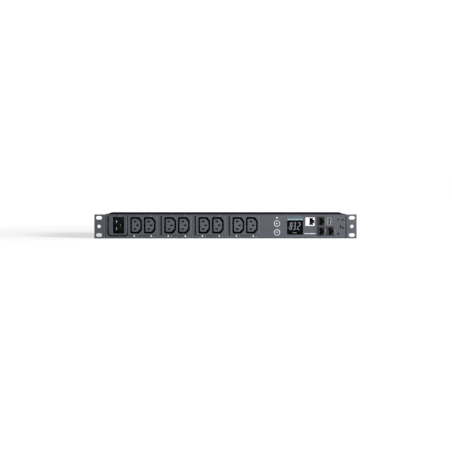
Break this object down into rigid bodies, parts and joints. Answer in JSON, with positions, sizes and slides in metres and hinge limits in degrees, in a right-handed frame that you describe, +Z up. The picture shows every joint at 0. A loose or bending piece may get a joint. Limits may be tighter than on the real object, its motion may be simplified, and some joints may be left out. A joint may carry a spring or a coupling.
{
  "type": "rack power strip",
  "caption": "One-unit-high power strip for a 19-inch rack: keyed appliance inlet, paired switched outlets with lamps, push buttons, display window and network sockets.",
  "frame": {"origin": "centre of the bounding box in X and Y, on the plane the underside rests on", "axes": "+X to the right as seen from the front, along the strip; -Y is the front, where the outlets face; +Z up"},
  "size_m": [0.4826, 0.188, 0.0444],
  "materials": {
    "panel_paint": "dark grey powder coat, fine texture",
    "case_paint": "near-black powder coat, matt",
    "socket_plastic": "dark grey moulded plastic",
    "core_plastic": "dark grey moulded plastic, slightly paler",
    "inlet_plastic": "dark moulded plastic",
    "plated_blade": "nickel-plated, satin",
    "lens": "clear lens, lit",
    "ring_plastic": "pale grey, satin",
    "cap_plastic": "dark grey, satin",
    "display_gloss": "glossy black",
    "black_plastic": "black moulded plastic",
    "white_plastic": "white moulded plastic",
    "jack_plastic": "dark grey moulded plastic",
    "bright_steel": "bare steel",
    "screw_steel": "blackened steel",
    "copper_bar": "bare copper",
    "board": "green circuit board",
    "brown_wire": "insulated wire",
    "blue_wire": "insulated wire",
    "green_wire": "insulated wire"
  },
  "bodies": {
    "strip": {"front_panel": "panel_paint", "rack_ear_left": "panel_paint", "rack_ear_right": "panel_paint", "chassis_tray": "case_paint", "top_cover": "case_paint", "outlet_housing_1": "socket_plastic", "outlet_housing_2": "socket_plastic", "outlet_housing_3": "socket_plastic", "outlet_housing_4": "socket_plastic", "outlet_core_1": "core_plastic", "outlet_core_2": "core_plastic", "outlet_core_3": "core_plastic", "outlet_core_4": "core_plastic", "outlet_core_5": "core_plastic", "outlet_core_6": "core_plastic", "outlet_core_7": "core_plastic", "outlet_core_8": "core_plastic", "inlet_housing": "inlet_plastic", "inlet_pin_line": "plated_blade", "inlet_pin_earth": "plated_blade", "inlet_pin_neutral": "plated_blade", "outlet_lenses": "lens", "status_lens": "lens", "button_ring_upper": "ring_plastic", "button_ring_lower": "ring_plastic", "switch_body_upper": "black_plastic", "switch_body_lower": "black_plastic", "relay_bank_left": "black_plastic", "relay_bank_right": "black_plastic", "supply_capacitor": "black_plastic", "current_transformer": "black_plastic", "display_module": "black_plastic", "display_window": "display_gloss", "ethernet_jack": "white_plastic", "usb_tongue": "white_plastic", "serial_jack": "jack_plastic", "sensor_jack_left": "jack_plastic", "sensor_jack_right": "jack_plastic", "usb_shell": "bright_steel", "supply_transformer": "bright_steel", "earth_stud": "bright_steel", "supply_fuse": "bright_steel", "ear_screw_left_upper": "screw_steel", "ear_screw_left_lower": "screw_steel", "ear_screw_right_upper": "screw_steel", "ear_screw_right_lower": "screw_steel", "cover_screw_left": "screw_steel", "cover_screw_right": "screw_steel", "busbar_neutral": "copper_bar", "busbar_earth": "copper_bar", "display_board": "board", "network_board": "board", "relay_board": "board", "line_wire": "brown_wire", "neutral_wire": "blue_wire", "earth_wire": "green_wire"},
    "button_upper": {"button_cap_upper": "cap_plastic", "switch_plunger_upper": "black_plastic"},
    "button_lower": {"button_cap_lower": "cap_plastic", "switch_plunger_lower": "black_plastic"}
  },
  "joints": [
    {"name": "button_upper_press", "type": "slide", "parent": "strip", "child": "button_upper", "axis": [0, 1, 0], "range_m": [0, 0.0008], "stiffness_N_per_m": 900, "springref_m": -0.0005},
    {"name": "button_lower_press", "type": "slide", "parent": "strip", "child": "button_lower", "axis": [0, 1, 0], "range_m": [0, 0.0008], "stiffness_N_per_m": 900, "springref_m": -0.0005}
  ]
}
